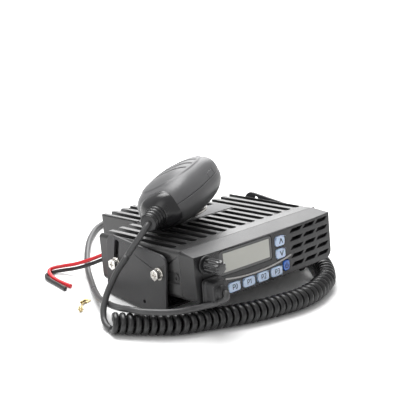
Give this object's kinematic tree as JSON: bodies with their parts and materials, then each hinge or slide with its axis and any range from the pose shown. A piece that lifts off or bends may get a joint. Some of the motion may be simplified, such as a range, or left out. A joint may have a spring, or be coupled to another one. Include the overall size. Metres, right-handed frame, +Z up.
{
  "type": "mobile transceiver",
  "caption": "Compact vehicle two-way radio in a tilting bracket, with a finned die-cast heat sink, front keys, volume knob, hand microphone, curly cord and power leads.",
  "frame": {"origin": "centre of the underside of the mounting bracket, on the surface it stands on", "axes": "+X to the radio's right as seen from the front, +Y to the rear, +Z up"},
  "size_m": [0.2279, 0.2651, 0.1022],
  "materials": {
    "bracket_paint": "fine-textured satin black paint",
    "cast_paint": "satin dark grey paint on die-cast aluminium",
    "zinc_steel": "bright zinc plate",
    "black_steel": "black oxide",
    "aluminium_plate": "satin",
    "panel_plastic": "fine-grained moulded plastic",
    "trim_silver": "metallic paint",
    "clear_window": "clear hard-coated plastic, display glass behind it",
    "display": "grey-green display",
    "key_blue": "translucent pale blue",
    "key_deep_blue": "translucent deep blue",
    "silicone": "matt silicone",
    "black_rubber": "matt",
    "cord_pvc": "satin cord jacket",
    "curl_pvc": "satin coiled cord jacket",
    "red_pvc": "satin wire insulation",
    "black_pvc": "satin wire insulation",
    "board_green": "solder-masked glass laminate",
    "nickel": "nickel plate",
    "brass_terminal": "bright stamped brass",
    "mic_grey": "fine-grained moulded plastic",
    "mic_dark": "fine-grained moulded plastic",
    "paper_cone": "coated paper",
    "black_plastic": "satin",
    "clear_plastic": "clear moulded plastic"
  },
  "bodies": {
    "bracket": {"bracket": "bracket_paint", "curly_cord": "curl_pvc", "plug_tail_floor": "cord_pvc", "crimp_terminals": "brass_terminal"},
    "radio": {"tilt_bolts": "zinc_steel", "tilt_washers": "zinc_steel", "spacer_pads": "black_rubber", "heat_sink_casting": "cast_paint", "bottom_cover": "cast_paint", "cover_screws": "zinc_steel", "side_screws": "black_steel", "rating_plate": "aluminium_plate", "front_panel": "panel_plastic", "trim_strip": "trim_silver", "display_window": "clear_window", "display_module": "display", "keypad_sheet": "silicone", "volume_control": "nickel", "knob_collar": "panel_plastic", "speaker_frame": "zinc_steel", "speaker_cone": "paper_cone", "speaker_magnet": "black_steel", "dust_mesh": "paper_cone", "front_board": "board_green", "main_board": "board_green", "power_module": "black_plastic", "shield_can": "nickel", "antenna_socket": "nickel", "speaker_jack": "black_plastic", "power_grommet": "black_rubber", "mic_jack": "black_plastic", "mic_plug": "clear_plastic", "plug_boot": "black_rubber", "plug_tail_drop": "cord_pvc", "mic_tail_hang": "cord_pvc", "red_lead": "red_pvc", "black_lead": "black_pvc"},
    "knob": {"volume_knob": "black_plastic", "volume_shaft": "nickel"},
    "mic": {"mic_front_shell": "mic_grey", "mic_rear_shell": "mic_dark", "mic_side_insert": "mic_grey", "mic_end_cap": "black_rubber", "mic_strain_relief": "black_rubber", "mic_capsule": "nickel", "mic_board": "board_green", "mic_switch": "black_plastic", "mic_hanger_stud": "zinc_steel", "mic_screws": "black_steel", "mic_tail_top": "cord_pvc"},
    "talk_key": {"mic_ptt": "black_rubber"},
    "key_0": {"key_0": "key_blue"},
    "key_1": {"key_1": "key_blue"},
    "key_2": {"key_2": "key_blue"},
    "key_3": {"key_3": "key_blue"},
    "key_up": {"key_up": "key_blue"},
    "key_down": {"key_down": "key_blue"},
    "key_power": {"key_power": "key_deep_blue"}
  },
  "joints": [
    {"name": "tilt", "type": "hinge", "parent": "bracket", "child": "radio", "pos_m": [0, -0.0275, 0.038], "axis": [1, 0, 0], "range_deg": [-0.5, 16.5], "deforming": ["plug_tail_drop", "mic_tail_hang", "mic_tail_top", "red_lead", "black_lead", "curly_cord", "plug_tail_floor"]},
    {"name": "knob_turn", "type": "hinge", "parent": "radio", "child": "knob", "pos_m": [-0.0645, -0.0748, 0.05411], "axis": [0, -0.9914, 0.1305], "range_deg": [-150, 150]},
    {"name": "mic_lift", "type": "slide", "parent": "radio", "child": "mic", "axis": [0, 0, 1], "range_m": [0, 0.05], "deforming": ["mic_tail_top", "mic_tail_hang"]},
    {"name": "talk_press", "type": "slide", "parent": "mic", "child": "talk_key", "axis": [0.346, -0.7958, 0.497], "range_m": [0, 0.0025], "stiffness_N_per_m": 900, "springref_m": -0.0015},
    {"name": "press_0", "type": "slide", "parent": "radio", "child": "key_0", "axis": [0, 0.9914, -0.1305], "range_m": [0, 0.0008], "stiffness_N_per_m": 1200, "springref_m": -0.0006},
    {"name": "press_1", "type": "slide", "parent": "radio", "child": "key_1", "axis": [0, 0.9914, -0.1305], "range_m": [0, 0.0008], "stiffness_N_per_m": 1200, "springref_m": -0.0006},
    {"name": "press_2", "type": "slide", "parent": "radio", "child": "key_2", "axis": [0, 0.9914, -0.1305], "range_m": [0, 0.0008], "stiffness_N_per_m": 1200, "springref_m": -0.0006},
    {"name": "press_3", "type": "slide", "parent": "radio", "child": "key_3", "axis": [0, 0.9914, -0.1305], "range_m": [0, 0.0008], "stiffness_N_per_m": 1200, "springref_m": -0.0006},
    {"name": "press_up", "type": "slide", "parent": "radio", "child": "key_up", "axis": [0, 0.9914, -0.1305], "range_m": [0, 0.0008], "stiffness_N_per_m": 1200, "springref_m": -0.0006},
    {"name": "press_down", "type": "slide", "parent": "radio", "child": "key_down", "axis": [0, 0.9914, -0.1305], "range_m": [0, 0.0008], "stiffness_N_per_m": 1200, "springref_m": -0.0006},
    {"name": "press_power", "type": "slide", "parent": "radio", "child": "key_power", "axis": [0, 0.9914, -0.1305], "range_m": [0, 0.0008], "stiffness_N_per_m": 1200, "springref_m": -0.0006}
  ]
}
